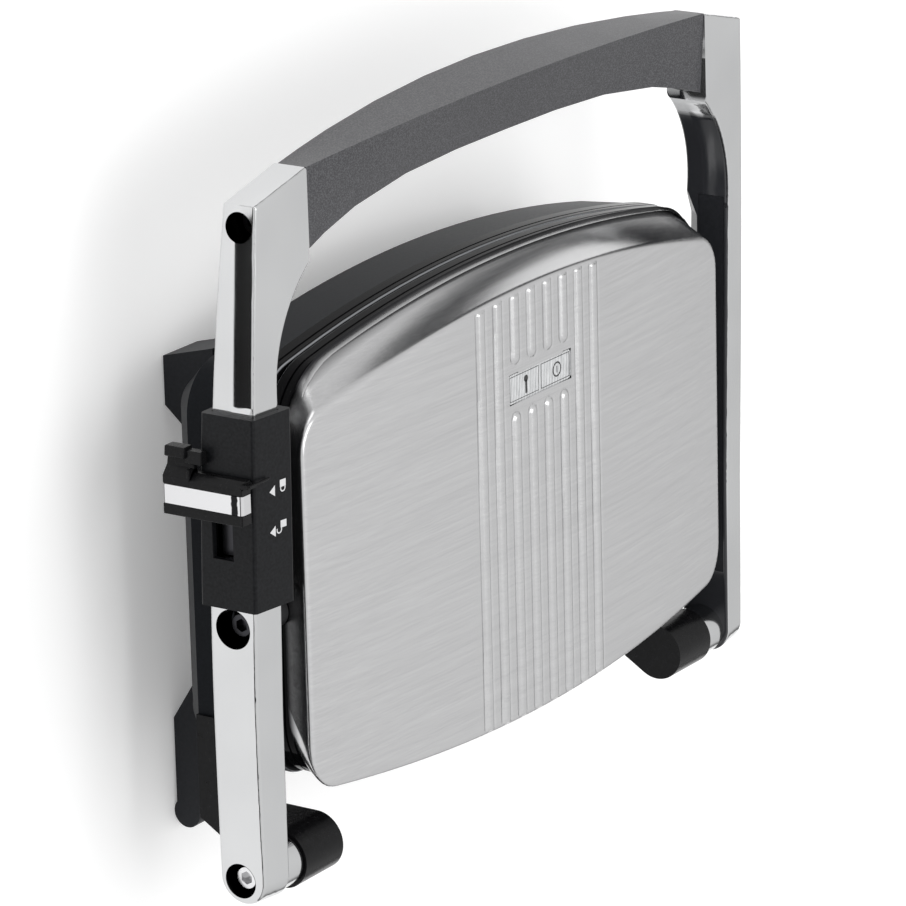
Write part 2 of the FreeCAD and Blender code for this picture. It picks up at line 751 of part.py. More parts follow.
def grip_halves():
    """Two moulded halves over a steel core, parted along the underside."""
    outer = grip_solid(0, grip_half_length - fit)
    hollow = grip_solid(grip_wall, grip_half_length - 10)
    shell = outer.cut(hollow)
    for side in (-1, 1):
        seat = rod_x(grip_half_length - 34, grip_half_length + 1, -grip_pocket_reach,
                     grip_pocket_height, grip_core_radius + fit)
        shell = shell.cut(seat if side > 0 else mirrored(seat))
    part_z = grip_low_middle + grip_wall + 0.4
    below = []
    for p in (-1.1, -0.75, -0.4, 0.0, 0.4, 0.75, 1.1):
        z = part_z + (grip_low_end - grip_low_middle) * min(1, abs(p)) ** 2 * 0.9
        y0, y1 = -arm_reach - 10, -grip_back + 40
        x = p * grip_half_length
        below.append(polygon([v(x, y0, z), v(x, y1, z), v(x, y1, z - 30), v(x, y0, z - 30)]))
    lower_space = Part.makeLoft(below, True, True)
    return one(shell.cut(lower_space)), one(shell.common(lower_space))


def grip_core(side):
    """Turned steel end plug that ties the grip to its arm."""
    plug = rod_x(grip_half_length - 34, grip_half_length, -grip_pocket_reach,
                 grip_pocket_height, grip_core_radius)
    plug = plug.cut(rod_x(grip_half_length - 20, grip_half_length + 1, -grip_pocket_reach,
                          grip_pocket_height, grip_screw_radius))
    return plug if side > 0 else mirrored(plug)


def lock_housing():
    """Sleeve round the right arm, slotted on its outer side for the slider's neck."""
    y0, y1 = -lock_front, -lock_back
    block = arm_block(lock_wall).common(
        box(arm_inner - lock_wall - 1.6, lock_outer, y0, y1, -40, 60))
    long_edges = [e for e in block.Edges if e.Length > lock_length * 0.8]
    block = block.makeFillet(1.6, long_edges)
    sleeve = block.cut(arm_block(0).common(arm_plan())).cut(slot_space(0))
    return max(sleeve.Solids, key=lambda s: s.Volume)


def slot_space(deeper):
    """The slot that the slider's neck runs in, long enough for the whole travel."""
    y0 = -slider_front + 15.0
    y1 = -slider_back + 3.5 + slider_travel - 3.0
    return box(lock_outer - slot_depth - deeper, lock_outer + 5, y0, y1,
               -slot_half_height, slot_half_height)


def lock_slider():
    """Finger slider: an outer block with a thumb wing, a neck in the slot and a hook below."""
    y0, y1 = -slider_front + 16.0, -slider_back
    outer = box(slider_inner, slider_outer, y0, y1, slider_bottom, slider_top)
    wing = side_prism([(-slider_front, slider_bottom + 3.5), (-slider_front, slider_bottom + 16),
                       (y0 + 1, 2.0), (y0 + 1, slider_bottom)], slider_inner, slider_outer - 1.2)
    body = outer.makeFillet(1.6, [e for e in outer.Edges
                                  if abs(e.CenterOfMass.x - slider_outer) < 0.01])
    body = body.fuse(wing)
    hook_top = -arm_low - lock_wall - 1.4
    hook = box(arm_inner - 3.0, slider_inner + 1, y0 + 1, y1 - 1, hook_top - 6.5, hook_top)
    neck = box(lock_outer - slot_depth + 1.2, slider_inner + 1, -slider_front + 16.5,
               -slider_back - 3.0, -slot_half_height + 0.5, slot_half_height - 0.5)
    body = body.fuse([hook, neck])
    return one(body.cut(trim_space(0)).removeSplitter())


def trim_space(extra):
    """The channel round the slider's outer face and top corner that the trim lies in."""
    y_mid = -(slider_front + slider_back) / 2 + 7.2
    y0, y1 = y_mid - trim_width / 2, y_mid + trim_width / 2
    side = box(slider_outer - trim_thickness, slider_outer + 5, y0, y1, slider_bottom + 1,
               slider_top + 5)
    top = box(slider_inner + 0.6, slider_outer + 5, y0, y1, slider_top - trim_thickness,
              slider_top + 5)
    return side.fuse(top)


def slider_trim():
    outer = box(slider_inner, slider_outer, -slider_front, -slider_back, slider_bottom, slider_top)
    rounded = outer.makeFillet(1.6, [e for e in outer.Edges
                                     if abs(e.CenterOfMass.x - slider_outer) < 0.01
                                     and abs(e.CenterOfMass.z - slider_top) < 0.01])
    return one(rounded.common(trim_space(0)).removeSplitter())


def lock_detent():
    """Spring strip on the floor of the slot that holds the slider at either end."""
    space = slot_space(0)
    b = space.BoundBox
    return box(b.XMin, b.XMin + 0.6, b.YMin + 0.5, b.YMax - 0.5, b.ZMin + 1, b.ZMax - 1)


def lock_catch():
    """Striker on the base's right side, just inboard of the slider's hook."""
    y0, y1 = -slider_front + 12.0, -slider_back + 4.0
    top = -arm_low - lock_wall - 4.0
    foot = body_half_width - 0.6
    plate = box(foot, foot + 1.5, y0, y1, top - 14, top)
    nose = side_prism([(y0 + 3, top - 4), (y0 + 3, top), (y1 - 3, top), (y1 - 3, top - 4)],
                      foot, arm_inner - 5.0)
    return one(plate.fuse(nose))


# --- build every node ----------------------------------------------------------------------
front_foot, rear_foot, pads = feet()
save("base_pan", base_pan())
save("base_rim", base_rim())
save("lower_plate", ribbed_plate(lower_plate_top, 1))
lower_heater_z = lower_plate_top - plate_thickness - heater_radius
save("lower_heater", heater(lower_heater_z))
save("lower_shield", shield(lower_heater_z - heater_radius - 3.0, plate_inset + 26))
save("front_feet", front_foot, mirrored(front_foot))
save("rear_feet", rear_foot, mirrored(rear_foot))
save("foot_pads", *[p for pad in pads for p in (pad, mirrored(pad))])
save("hinge_lug_right", hinge_lug())
save("hinge_lug_left", mirrored(hinge_lug()))
save("hinge_bushes", hinge_bush(), mirrored(hinge_bush()))
hinge_seat = arm_outer_back - 9.0 + side_clearance
hinge_screw = cap_screw(lug_inner + 7, hinge_seat, 0, 0, hinge_screw_radius)
save("hinge_screws", hinge_screw, mirrored(hinge_screw))
washer = rod_x(lug_outer, lug_outer + sheet, 0, 0, boss_radius - 0.5).cut(
    rod_x(100, 220, 0, 0, hinge_screw_radius))
save("hinge_washers", one(washer), mirrored(one(washer)))
save("lug_screws", *[case_screw(x, y, pan_bottom + 1, tongue_bottom + 8, 1)
                     for x, y in tongue_screw_places()])
save("base_screws", *[case_screw(x, y, pan_bottom + 1, rim_ear_top - 0.4, 1) for x, y in post_xy])
save("cord_gland", cord_gland())
save("terminal_block", box(-60, -24, -body_back - 60, -body_back - 46, pan_bottom + wall,
                           pan_bottom + wall + 12))
save("lock_catch", lock_catch())

save("lid_cover", lid_cover())
save("lid_frame", lid_frame())
save("upper_plate", ribbed_plate(upper_plate_bottom, -1))
upper_heater_z = upper_plate_bottom + plate_thickness + heater_radius
save("upper_heater", heater(upper_heater_z))
save("thermostat", rod_z(0, -body_front / 2, upper_plate_bottom + plate_thickness,
                         upper_plate_bottom + plate_thickness + 6, 8.0))
save("indicator_lens", indicator_lens())
save("lamp_holder", lamp_holder())
save("indicator_lamps", lamp(-12), lamp(12))
save("cover_posts", *[cover_post(x, y) for x, y in post_xy])
save("cover_screws", *[case_screw(x, y, frame_ear_bottom - 2.0, frame_ear_bottom + 5.4, 1)
                       for x, y in post_xy])
pivot_seat = arm_outer_middle - 11.0 + side_clearance
pivot_screw = cap_screw(body_half_width - 9, pivot_seat, -pivot_reach, pivot_height,
                        pivot_screw_radius)
save("pivot_screws", pivot_screw, mirrored(pivot_screw))
bush = rod_x(cover_half_width + 0.4, arm_inner - side_clearance, -pivot_reach, pivot_height,
             pivot_bush_radius).cut(rod_x(100, 220, -pivot_reach, pivot_height,
                                          pivot_screw_radius))
save("pivot_bushes", one(bush), mirrored(one(bush)))

plain_arm = arm()
right_arm = one(plain_arm.cut(slot_space(0)))
save("arm_right", right_arm)
save("arm_left", mirrored(plain_arm))
save("arm_liner_right", arm_liner())
save("arm_liner_left", mirrored(arm_liner()))
grip_upper, grip_lower = grip_halves()
save("grip_upper", grip_upper)
save("grip_lower", grip_lower)
save("grip_plugs", grip_core(1), grip_core(-1))
grip_screw = cap_screw(grip_half_length - 20, arm_outer_front - 14.0, -grip_pocket_reach,
                       grip_pocket_height, grip_screw_radius)
save("grip_screws", grip_screw, mirrored(grip_screw))
save("lock_housing", lock_housing())
save("lock_detent", lock_detent())
save("lock_slider", lock_slider())
save("slider_trim", slider_trim())
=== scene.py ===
import json
import math
import bmesh
import bpy
from mathutils import Matrix, Vector


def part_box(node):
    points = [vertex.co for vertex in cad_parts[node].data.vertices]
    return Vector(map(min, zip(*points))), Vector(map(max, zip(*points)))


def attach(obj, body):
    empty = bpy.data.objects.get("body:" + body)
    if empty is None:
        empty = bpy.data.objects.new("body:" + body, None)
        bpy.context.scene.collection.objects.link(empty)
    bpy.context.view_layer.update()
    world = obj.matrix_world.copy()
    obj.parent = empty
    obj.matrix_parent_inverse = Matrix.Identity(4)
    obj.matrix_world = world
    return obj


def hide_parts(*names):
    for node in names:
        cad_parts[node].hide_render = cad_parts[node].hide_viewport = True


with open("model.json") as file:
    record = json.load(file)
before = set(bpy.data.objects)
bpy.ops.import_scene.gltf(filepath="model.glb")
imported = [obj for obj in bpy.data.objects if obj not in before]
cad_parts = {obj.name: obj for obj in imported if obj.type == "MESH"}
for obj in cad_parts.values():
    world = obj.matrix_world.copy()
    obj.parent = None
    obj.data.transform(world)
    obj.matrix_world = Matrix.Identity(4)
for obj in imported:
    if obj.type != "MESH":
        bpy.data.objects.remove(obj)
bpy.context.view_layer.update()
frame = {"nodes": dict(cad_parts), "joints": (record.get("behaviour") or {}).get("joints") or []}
nodes = frame["nodes"]


# --- worktop, lights and camera ---
# A pale matt worktop, slightly self-lit, under a bright overcast studio. The horizon is darker
# than the ceiling and a black flag stands low on the right side, so that polished metal gets
# both light and dark to mirror.
class Socket:
    """A shader value that can be used in a sum like a number."""

    def __init__(self, tree, out):
        self.tree, self.out = tree, out

    def _math(self, operation, other, swap=False, clamp=False):
        node = self.tree.nodes.new("ShaderNodeMath")
        node.operation = operation
        node.use_clamp = clamp
        pair = (other, self) if swap else (self, other)
        for place, value in zip(node.inputs, pair):
            if isinstance(value, Socket):
                self.tree.links.new(value.out, place)
            elif value is not None:
                place.default_value = value
        return Socket(self.tree, node.outputs[0])

    def __add__(self, o): return self._math("ADD", o)
    def __sub__(self, o): return self._math("SUBTRACT", o)
    def __rsub__(self, o): return self._math("SUBTRACT", o, True)
    def __mul__(self, o): return self._math("MULTIPLY", o)
    def __truediv__(self, o): return self._math("DIVIDE", o)
    def __pow__(self, o): return self._math("POWER", o)
    def __gt__(self, o): return self._math("GREATER_THAN", o)
    def __lt__(self, o): return self._math("LESS_THAN", o)
    def __abs__(self): return self._math("ABSOLUTE", None)
    def limit(self): return self._math("ADD", 0.0, clamp=True)
    def most(self, o): return self._math("MAXIMUM", o)


class Finish:
    """A material, or the world, with short ways to add its nodes."""

    def __init__(self, owner, shader="ShaderNodeBsdfPrincipled"):
        self.owner = owner
        owner.use_nodes = True
        self.tree = owner.node_tree
        self.tree.nodes.clear()
        world = isinstance(owner, bpy.types.World)
        self.end = self.tree.nodes.new("ShaderNodeOutputWorld" if world
                                       else "ShaderNodeOutputMaterial")
        self.shader = self.tree.nodes.new(shader)
        self.tree.links.new(self.shader.outputs[0], self.end.inputs["Surface"])

    def node(self, kind, settings=(), values=(), out=0):
        made = self.tree.nodes.new("ShaderNode" + kind)
        for name, value in dict(settings).items():
            if name == "stops":
                ramp = made.color_ramp.elements
                while len(ramp) < len(value):
                    ramp.new(0.5)
                for stop, (at, shade) in zip(ramp, value):
                    stop.position = at
                    stop.color = (shade, shade, shade, 1) if isinstance(shade, float) else shade
            else:
                setattr(made, name, value)
        for name, value in dict(values).items():
            if isinstance(value, Socket):
                self.tree.links.new(value.out, made.inputs[name])
            else:
                made.inputs[name].default_value = value
        return Socket(self.tree, made.outputs[out])

    def place(self, scale):
        """Object coordinates in metres, stretched by scale."""
        return self.node("Mapping", values={"Vector": self.node("TexCoord", out=3),
                                            "Scale": scale})

    def axis(self, letter):
        return self.node("SeparateXYZ", values={"Vector": self.node("TexCoord", out=3)},
                         out="XYZ".index(letter))

    def grain(self, scale, detail=2.0, stretch=(1, 1, 1), rough=0.5):
        return self.node("TexNoise", values={"Vector": self.place(stretch), "Scale": scale,
                                             "Detail": detail, "Roughness": rough})

    def blend(self, mask, first, second):
        """A colour that goes from first to second with mask."""
        made = self.tree.nodes.new("ShaderNodeMix")
        made.data_type = "RGBA"
        for place, value in ((made.inputs[0], mask), (made.inputs[6], first),
                             (made.inputs[7], second)):
            if isinstance(value, Socket):
                self.tree.links.new(value.out, place)
            else:
                place.default_value = value
        return Socket(self.tree, made.outputs[2])

    def set(self, **values):
        for name, value in values.items():
            place = self.shader.inputs[name.replace("_", " ")]
            if isinstance(value, Socket):
                self.tree.links.new(value.out, place)
            else:
                place.default_value = value
        return self

    def bump(self, height, distance, strength=1.0):
        return self.node("Bump", values={"Height": height, "Distance": distance,
                                         "Strength": strength})


def finish_named(name):
    return Finish(bpy.data.materials.new(name))


def object_from(name, work, finish):
    """A linked object with the shape held in a bmesh, which is freed."""
    mesh = bpy.data.meshes.new(name)
    work.to_mesh(mesh)
    work.free()
    mesh.materials.append(finish.owner)
    made = bpy.data.objects.new(name, mesh)
    bpy.context.collection.objects.link(made)
    return made


sky = Finish(bpy.context.scene.world or bpy.data.worlds.new("studio"), "ShaderNodeBackground")
bpy.context.scene.world = sky.owner
up = sky.node("SeparateXYZ", values={"Vector": sky.node("TexCoord", out=0)}, out=2)
right = sky.node("SeparateXYZ", values={"Vector": sky.node("TexCoord", out=0)}, out=0)
glow = sky.node("ValToRGB", {"stops": [(0.0, 0.10), (0.5, 0.12), (0.545, 0.38), (0.60, 0.80),
                                       (1.0, 1.0)]}, {"Fac": up * 0.5 + 0.5})
flag = ((right - 0.72) * 8.0).limit() * ((0.42 - up) * 9.0).limit()
sky.set(Color=glow * (1.0 - flag * 0.97), Strength=1.0)

bench = bmesh.new()
bmesh.ops.create_circle(bench, cap_ends=True, segments=64, radius=1.6)
worktop_finish = finish_named("worktop_white")
worktop_finish.set(Base_Color=worktop_finish.blend(worktop_finish.grain(3.0),
                                                   (0.90, 0.90, 0.90, 1), (0.94, 0.94, 0.94, 1)),
                   Roughness=0.75, Specular_IOR_Level=0.1, Emission_Color=(1, 1, 1, 1),
                   Emission_Strength=0.22)
object_from("worktop", bench, worktop_finish)


def soft_lamp(name, power, size, at, towards):
    light = bpy.data.lights.new(name, "AREA")
    light.energy = power
    light.shape = "RECTANGLE"
    light.size, light.size_y = size
    lamp = bpy.data.objects.new(name, light)
    lamp.location = at
    lamp.rotation_euler = (Vector(towards) - Vector(at)).to_track_quat("-Z", "Y").to_euler()
    bpy.context.collection.objects.link(lamp)


soft_lamp("ceiling_light", 9, (1.2, 1.2), (0.55, -0.35, 1.9), (0, 0, 0.08))
soft_lamp("front_light", 2.0, (0.9, 0.5), (0.5, -1.6, 0.8), (0, 0, 0.08))

lens = bpy.data.cameras.new("camera")
lens.lens = 225.9
lens.sensor_width = 36.0
camera = bpy.data.objects.new("camera", lens)
look = Vector((-0.79153, 0.29794, -0.53358)).normalized()
side = look.cross(Vector((-0.26115, -0.95428, -0.14545))).normalized()
over = side.cross(look)
stand = Matrix((side, over, -look)).transposed().to_4x4()
stand.translation = (1.90178, -0.69788, 1.34326)
camera.matrix_world = stand
bpy.context.collection.objects.link(camera)
bpy.context.scene.camera = camera
bpy.context.scene.view_settings.view_transform = "Standard"


# --- lower housing ---
# The base's moulded shell: dark grey nylon, satin, with a fine spark-eroded grain. It hangs
# from the rim on four screws, and its floor has a row of vents.
def give(finish, *names):
    """Puts a finish on CAD nodes that keep their own shape."""
    for name in names:
        mesh = nodes[name].data
        mesh.materials.clear()
        mesh.materials.append(finish.owner)


def dressed(name, node, body, finish, soft=40.0, edge=0.0):
    """A clean copy of a CAD node: joined vertices, smooth faces and slightly broken edges."""
    mesh = nodes[node].data.copy()
    mesh.name = name
    piece = bpy.data.objects.new(name, mesh)
    bpy.context.collection.objects.link(piece)
    work = bmesh.new()
    work.from_mesh(mesh)
    bmesh.ops.remove_doubles(work, verts=work.verts, dist=2e-6)
    bmesh.ops.dissolve_degenerate(work, edges=work.edges, dist=1e-6)
    for face in work.faces:
        face.smooth = True
        face.material_index = 0
    for bend in work.edges:
        bend.smooth = len(bend.link_faces) == 2 and bend.calc_face_angle(0) < math.radians(soft)
    if edge:
        bmesh.ops.dissolve_limit(work, angle_limit=math.radians(0.6), verts=work.verts,
                                 edges=work.edges, delimit={"SHARP"})
    work.to_mesh(mesh)
    work.free()
    mesh.materials.clear()
    mesh.materials.append(finish.owner)
    if edge:
        broken = piece.modifiers.new("broken edge", "BEVEL")
        broken.width = edge
        broken.segments = 3
        broken.limit_method = "ANGLE"
        broken.angle_limit = math.radians(soft)
        broken.harden_normals = False
        broken.use_clamp_overlap = True
    even = piece.modifiers.new("even shading", "WEIGHTED_NORMAL")
    even.keep_sharp = not edge
    even.weight = 80
    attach(piece, body)
    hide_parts(node)


def moulded(name, shade, rough, grain=900.0, depth=0.00004, fleck=0.12, gloss=0.13):
    """Moulded plastic: a fine grain in its bump and gloss, with faint lighter flecks."""
    plastic = finish_named(name)
    fine = plastic.grain(grain, 3.0)
    wide = plastic.grain(9.0, 2.0)
    light = tuple(c * (1 + 2.6 * fleck) for c in shade) + (1,)
    dark = tuple(c * (1 - fleck) for c in shade) + (1,)
    plastic.set(Base_Color=plastic.blend((fine * 1.5 - 0.25).limit(), dark, light),
                Roughness=(fine - 0.5) * 0.10 + (wide - 0.5) * 0.05 + rough,
                Normal=plastic.bump(fine, depth, 0.5), Specular_IOR_Level=gloss)
    return plastic


housing_grey = moulded("housing_dark_grey", (0.011, 0.012, 0.014), 0.34, gloss=0.03)
dressed("lower_housing", "base_pan", "base", housing_grey, 35.0)


# --- rims ---
# Two gloss black mouldings that hold the plates: one on the base and one under the lid. They
# are polished, with a hint of orange peel. A painted highlight draws a bright line each side of the
# seam.
mm = 0.001
hinge_y = frame["joints"][0]["pos_m"][1]
hinge_z = frame["joints"][0]["pos_m"][2]
gloss_black = finish_named("gloss_black")
peel = gloss_black.grain(160.0, 1.0)
# painted highlight: a thin bright metallic line just above and just below the seam
from_seam = abs(abs(gloss_black.axis("Z") - (hinge_z - 2.5 * mm)) - 0.85 * mm)
painted_seam_highlight = (1.0 - from_seam / (0.42 * mm)).limit()
jet = gloss_black.blend(peel, (0.003, 0.003, 0.0035, 1), (0.006, 0.006, 0.0065, 1))
gloss_black.set(Base_Color=gloss_black.blend(painted_seam_highlight, jet, (0.42, 0.43, 0.45, 1)),
                Metallic=painted_seam_highlight * 0.8,
                Roughness=gloss_black.grain(14.0) * 0.06 + 0.06,
                Normal=gloss_black.bump(peel, 0.00001, 0.3), Specular_IOR_Level=0.03)
dressed("base_gloss_rim", "base_rim", "base", gloss_black, 30.0)
dressed("lid_gloss_rim", "lid_frame", "lid", gloss_black, 30.0)


# --- cooking plates and elements ---
# Die-cast aluminium plates with a dark non-stick coat, heated by tubular elements pressed
# against their backs. The lower one has a dull steel heat shield under it, and the bare metals
# for the small hardware are made here too.
nonstick = moulded("non_stick_coat", (0.022, 0.022, 0.024), 0.42, 420.0, 0.00003, 0.25)
give(nonstick, "lower_plate", "upper_plate")
element_grey = moulded("element_sheath", (0.16, 0.15, 0.14), 0.5, 300.0)
give(element_grey, "lower_heater", "upper_heater")


def metal(name, shade, rough, scale=60.0, wear=0.06):
    """Bare metal: streaks and smears in its gloss, and a very fine relief."""
    bare = finish_named(name)
    streak = bare.grain(scale, 4.0, rough=0.6)
    smear = bare.grain(11.0, 3.0)
    low = tuple(c * (1 - wear) for c in shade) + (1,)
    bare.set(Base_Color=bare.blend(streak, low, tuple(shade) + (1,)), Metallic=1.0,
             Roughness=(streak - 0.5) * 0.16 + (smear - 0.5) * 0.08 + rough,
             Normal=bare.bump(streak, 0.004 * mm, 0.6))
    return bare


bright_steel = metal("bright_steel", (0.74, 0.74, 0.75), 0.22)
dull_steel = metal("dull_steel", (0.55, 0.55, 0.55), 0.38, scale=140.0)
give(dull_steel, "lower_shield", "cover_posts", "thermostat")
# dark steel: real blued steel on the lock's spring, painted shade on the pivot and grip screws
blued_steel_and_pocket_shade = metal("blued_spring", (0.05, 0.05, 0.055), 0.3)
give(blued_steel_and_pocket_shade, "lock_detent")


# --- lid cover ---
# One drawn stainless shell, brushed from side to side, crowned across and with its front edge
# set back. Eight ridges are pressed along it, four of them broken for the lamp window.
cover_low, cover_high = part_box("lid_cover")
shell_bottom = cover_low.z
shell_side = cover_high.x
crown_rise = 10.0 * mm
crown_z = hinge_z + 27.5 * mm
shell_rise = 27.0 * mm
crown_radius = (shell_side ** 2 + crown_rise ** 2) / (2 * crown_rise)
ridge_pitch, ridge_half, ridge_height = 12.34 * mm, 3.0 * mm, 1.0 * mm
ridge_front, ridge_back = hinge_y - 208.0 * mm, hinge_y - 22.0 * mm
window_y = hinge_y - 166.5 * mm
window_half, window_deep = 24.0 * mm, 6.5 * mm


def edge_of(front_y, back_y, sag_front, sag_back, corner, steps):
    """The outline's front and back runs: a list of (point, outward direction) for each."""
    runs = []
    half = shell_side - corner
    for face, sag, y in ((-1, sag_front, front_y), (1, sag_back, back_y)):
        radius = (half * half + sag * sag) / (2 * sag)
        lean = math.asin(half / radius)
        centre = y - face * (radius + corner)
        run = []
        for kind, t in steps:
            if kind == "corner":
                turn = lean + (math.pi / 2 - lean) * abs(t)
                way = Vector((math.copysign(math.sin(turn), t), face * math.cos(turn), 0))
                middle = Vector((math.copysign(half, t), y - face * (corner + sag), 0))
                run.append((middle + way * corner, way))
            else:
                turn = lean * t
                way = Vector((math.sin(turn), face * math.cos(turn), 0))
                run.append((Vector((0, centre, 0)) + way * (radius + corner), way))
        runs.append(run)
    return runs


arc_half = shell_side - 14 * mm
fine = 0.62 * mm / arc_half
arc_steps = [-1 + k * 0.06 for k in range(11)]
edge_ridge = 49.0 * mm / arc_half
count_fine = int(2 * edge_ridge / fine)
arc_steps += [-edge_ridge + 2 * edge_ridge * k / count_fine for k in range(count_fine + 1)]
arc_steps += [1 - k * 0.06 for k in range(10, -1, -1)]
steps = [("corner", -1 + k / 8) for k in range(8)]
steps += [("arc", t) for t in sorted(arc_steps)]
steps += [("corner", (k + 1) / 8) for k in range(8)]
low_front, low_back = edge_of(cover_low.y, cover_high.y, 10.4 * mm, 5.9 * mm, 40 * mm, steps)
top_front, top_back = edge_of(cover_low.y + 10.5 * mm, cover_high.y - 0.5 * mm, 24.5 * mm,
                              9.7 * mm, 7.8 * mm, steps)


def crown(x):
    return crown_z - crown_radius + math.sqrt(crown_radius ** 2 - x * x)


def ridge(x, y):
    """How far the pressing stands up at a place."""
    nearest = round(x / ridge_pitch - 0.5) + 0.5
    if abs(nearest) > 4:
        return 0.0
    middle = nearest * ridge_pitch
    spans = [(ridge_front, ridge_back)]
    if abs(nearest) < 2:
        spans = [(ridge_front, window_y - window_deep - 4.5 * mm),
                 (window_y + window_deep + 4.5 * mm, ridge_back)]
    rise = 0.0
    for start, stop in spans:
        y_in = min(max(y, start + 2.2 * mm), stop - 2.2 * mm)
        away = math.hypot(x - middle, y - y_in) / ridge_half
        if away < 1:
            rise = max(rise, ridge_height * (1 - away ** 3) ** 1.3)
        if away < 1.6:
            rise -= 0.45 * mm * math.exp(-((away - 1.0) / 0.22) ** 2)
    return rise


def slope_point(i, share, s):
    """A place on the cover's skirt: s is 0 at its lower edge and grows towards the crown."""
    drawn_in = 1 - max(1 - s, 0.0) ** 2.2
    front = low_front[i][0].lerp(top_front[i][0], drawn_in)
    back = low_back[i][0].lerp(top_back[i][0], drawn_in)
    return front.lerp(back, share)


def crease_at(i, share):
    s = 0.7
    for _ in range(4):
        x = slope_point(i, share, s).x
        s = (crown(x) - shell_bottom) / shell_rise
    return s


shares = [0.0, 0.004, 0.012]
grid_front, grid_back = cover_low.y + 9.0 * mm, cover_high.y - 0.5 * mm
span_y = grid_back - grid_front
for start, stop in ((-208.5, -199.0), (-184.0, -148.5), (-30.0, -21.0)):
    count = int((stop - start) / 0.8)
    for k in range(count + 1):
        y = hinge_y + (start + (stop - start) * k / count) * mm
        shares.append((y - grid_front) / span_y)
for k in range(1, 24):
    at = k / 24
    if min(abs(at - s) for s in shares) > 0.012:
        shares.append(at)
shares = sorted(s for s in shares if 0.0 <= s < 0.985) + [0.99, 1.0]
columns, rows = len(steps) - 1, len(shares) - 1
skin = bmesh.new()
bmesh.ops.create_grid(skin, x_segments=columns, y_segments=rows, size=1.0)
rounding = 2.2 * mm
bend_rings, wall_rings = 5, 4
hem_ring = bend_rings + wall_rings + 1
place_of = {}
for vert in skin.verts:
    i = round((vert.co.x + 1) / 2 * columns)
    j = round((vert.co.y + 1) / 2 * rows)
    place_of[vert] = (i, j)
    front_s, back_s = crease_at(i, 0.0), crease_at(i, 1.0)
    front = slope_point(i, 0.0, front_s) - low_front[i][1] * rounding
    back = slope_point(i, 1.0, back_s) - low_back[i][1] * rounding
    spot = front.lerp(back, shares[j])
    vert.co = (spot.x, spot.y, crown(spot.x) + ridge(spot.x, spot.y))
hole = [f for f in skin.faces
        if abs(f.calc_center_median().x) < window_half
        and abs(f.calc_center_median().y - window_y) < window_deep]
bmesh.ops.delete(skin, geom=hole, context="FACES")
rim_edges = [e for e in skin.edges if e.is_boundary]
inner = [e for e in rim_edges if all(abs(v.co.x) < window_half + 6 * mm
                                     and abs(v.co.y - window_y) < window_deep + 13.5 * mm
                                     for v in e.verts)]
outer = [e for e in rim_edges if e not in set(inner)]
turned = bmesh.ops.extrude_edge_only(skin, edges=inner)
for vert in [g for g in turned["geom"] if isinstance(g, bmesh.types.BMVert)]:
    vert.co.z -= 1.6 * mm


def skirt_place(vert_key, k):
    """Where ring k of the skirt puts the vertex that started at a grid place."""
    i, j = vert_key
    share = shares[j]
    s = crease_at(i, share)
    if j == 0:
        way = low_front[i][1]
    elif j == rows:
        way = low_back[i][1]
    else:
        way = Vector((math.copysign(1.0, i - 1), 0, 0))
    corner_at = slope_point(i, share, s)
    corner_at.z = crown(corner_at.x)
    start = corner_at - way * rounding
    start.z = crown(start.x)
    s_end = s - rounding * 1.1 / shell_rise
    finish_at = slope_point(i, share, s_end)
    finish_at.z = shell_bottom + shell_rise * s_end
    if k <= bend_rings:
        t = k / bend_rings
        return start * (1 - t) ** 2 + corner_at * 2 * t * (1 - t) + finish_at * t * t
    if k < hem_ring:
        s_now = s_end * (1 - (k - bend_rings) / wall_rings)
        spot = slope_point(i, share, s_now)
        spot.z = shell_bottom + shell_rise * s_now
        return spot
    spot = slope_point(i, share, 0) - way * 1.2 * mm
    spot.z = shell_bottom + (0 if k == hem_ring else 4.0 * mm)
    return spot


# each ring's vertices keep the grid place that they started from
loop = outer
keys = {vert: place_of[vert] for vert in {v for e in outer for v in e.verts}}
for k in range(1, hem_ring + 2):
    ring = bmesh.ops.extrude_edge_only(skin, edges=loop)["geom"]
    loop = [g for g in ring if isinstance(g, bmesh.types.BMEdge)]
    fresh = {}
    for vert in [g for g in ring if isinstance(g, bmesh.types.BMVert)]:
        old = next(e.other_vert(vert) for e in vert.link_edges if e.other_vert(vert) in keys)
        fresh[vert] = keys[old]
    for vert, key in fresh.items():
        vert.co = skirt_place(key, k)
    keys = fresh
bmesh.ops.recalc_face_normals(skin, faces=skin.faces)
top_face = max(skin.faces, key=lambda f: f.calc_center_median().z)
if top_face.normal.z < 0:
    bmesh.ops.reverse_faces(skin, faces=skin.faces)
for face in skin.faces:
    face.smooth = True
for bend in skin.edges:
    if len(bend.link_faces) == 2 and bend.calc_face_angle(0) > math.radians(50):
        bend.smooth = False
brushed = finish_named("brushed_stainless")
hair = brushed.grain(1.0, 5.0, (22.0, 2600.0, 900.0), 0.65)
wide_hair = brushed.grain(1.0, 3.0, (5.0, 420.0, 240.0), 0.6)
cloud = brushed.grain(7.0, 2.0)
tone = (hair * 0.55 + wide_hair * 0.45).limit()
# painted shade: the steel goes near black over the last few millimetres above its lower edge
painted_edge_shade = ((brushed.axis("Z") - (shell_bottom + 0.5 * mm)) * 220.0).limit()
sheen = brushed.blend(tone, (0.45, 0.45, 0.455, 1), (0.70, 0.70, 0.705, 1))
brushed.set(Base_Color=brushed.blend(painted_edge_shade, (0.03, 0.03, 0.032, 1), sheen),
            Metallic=1.0,
            Roughness=(hair - 0.5) * 0.14 + (wide_hair - 0.5) * 0.06 + (cloud - 0.5) * 0.03 + 0.22,
            Normal=brushed.bump(hair, 0.000007, 0.5))
steel_cover = object_from("steel_cover", skin, brushed)
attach(steel_cover, "lid")
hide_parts("lid_cover")


